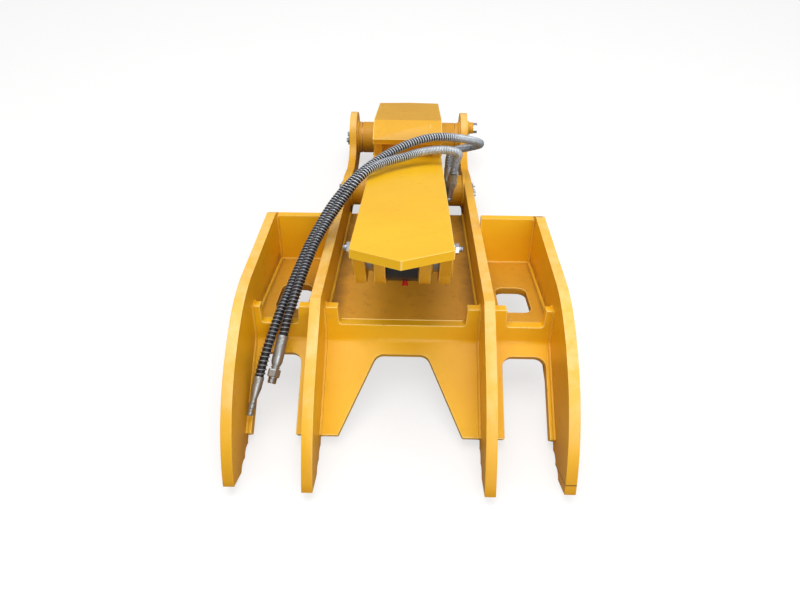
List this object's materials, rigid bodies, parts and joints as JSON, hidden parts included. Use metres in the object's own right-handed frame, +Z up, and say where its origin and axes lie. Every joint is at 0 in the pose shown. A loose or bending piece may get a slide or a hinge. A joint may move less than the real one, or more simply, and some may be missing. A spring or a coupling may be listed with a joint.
{
  "type": "excavator thumb",
  "caption": "Weld-on hydraulic excavator thumb: four toothed tines joined by bent front plates and floors, with a folding arm bracket, a cylinder and two hoses.",
  "frame": {"origin": "centre of the footprint, on the ground under the thumb as it lies on its grip side", "axes": "+Y from the tine tips to the main pivot, +Z up, +X to the right seen from the tips"},
  "size_m": [0.78, 1.5059, 0.5013],
  "materials": {
    "yellow_paint": "gloss industrial paint over welds",
    "black_paint": "satin black paint",
    "pin_steel": "turned pin",
    "zinc_steel": "zinc plated",
    "bronze": "sintered bush",
    "chrome": "hard chrome",
    "cast_iron": "machined",
    "black_rubber": "hose cover",
    "red_plastic": "moulded cap"
  },
  "bodies": {
    "thumb": {"inner_tine_right": "yellow_paint", "inner_tine_left": "yellow_paint", "outer_tine_right": "yellow_paint", "outer_tine_left": "yellow_paint", "center_front_plate": "yellow_paint", "wing_front_plate_right": "yellow_paint", "wing_front_plate_left": "yellow_paint", "wing_floor_right": "yellow_paint", "wing_floor_left": "yellow_paint", "center_floor": "yellow_paint", "wing_back_plate_right": "yellow_paint", "wing_back_plate_left": "yellow_paint", "ear_collars": "yellow_paint", "cylinder_boss_right": "yellow_paint", "cylinder_boss_left": "yellow_paint", "cylinder_boss_bushes": "bronze", "pivot_pin": "pin_steel", "cylinder_pin": "pin_steel", "pin_end_bars": "yellow_paint", "pin_end_bolts": "zinc_steel", "pivot_lock_sleeve": "yellow_paint", "pivot_washers": "bronze"},
    "bracket": {"arm_plate": "yellow_paint", "head_plate": "yellow_paint", "bracket_web_right": "yellow_paint", "bracket_web_left": "yellow_paint", "head_riser": "yellow_paint", "rod_lug_right": "yellow_paint", "rod_lug_left": "yellow_paint", "pivot_tube": "yellow_paint", "pivot_bushes": "bronze", "rod_pin_right": "pin_steel", "rod_pin_left": "pin_steel", "rod_pin_flags": "yellow_paint", "lock_bolts": "zinc_steel", "lock_nuts": "zinc_steel", "hose_a_tube": "black_rubber", "hose_a_ferrule": "zinc_steel", "hose_a_stem": "zinc_steel", "hose_b_tube": "black_rubber", "hose_b_ferrule": "zinc_steel", "hose_b_nut": "zinc_steel"},
    "barrel": {"barrel_cap_eye": "black_paint", "cap_eye_bush": "bronze", "barrel": "black_paint", "gland": "black_paint", "rod_wiper": "black_rubber", "port_elbows": "zinc_steel", "transfer_pipe": "black_paint", "hose_a_port_fitting": "zinc_steel", "hose_b_port_fitting": "zinc_steel"},
    "rod": {"cylinder_rod": "chrome", "piston": "cast_iron", "piston_seal": "black_rubber", "piston_nut": "zinc_steel", "rod_eye": "black_paint", "rod_eye_bush": "bronze", "rod_pin_middle": "pin_steel", "grease_cap": "red_plastic"}
  },
  "joints": [
    {"name": "bracket_hinge", "type": "hinge", "parent": "thumb", "child": "bracket", "pos_m": [0, 0.661, 0.092], "axis": [-1, 0, 0], "range_deg": [0, 75]},
    {"name": "barrel_hinge", "type": "hinge", "parent": "thumb", "child": "barrel", "pos_m": [0, 0.335, 0.08], "axis": [-1, 0, 0], "range_deg": [0, 84.71]},
    {"name": "rod_slide", "type": "slide", "parent": "barrel", "child": "rod", "axis": [0, -0.9218, 0.3878], "range_m": [0, 0.3684]}
  ],
  "couplings": [
    {"joint": "barrel_hinge", "follows": "bracket_hinge", "ratio": 1.1268},
    {"joint": "rod_slide", "follows": "bracket_hinge", "m_per_rad": 0.28064}
  ]
}
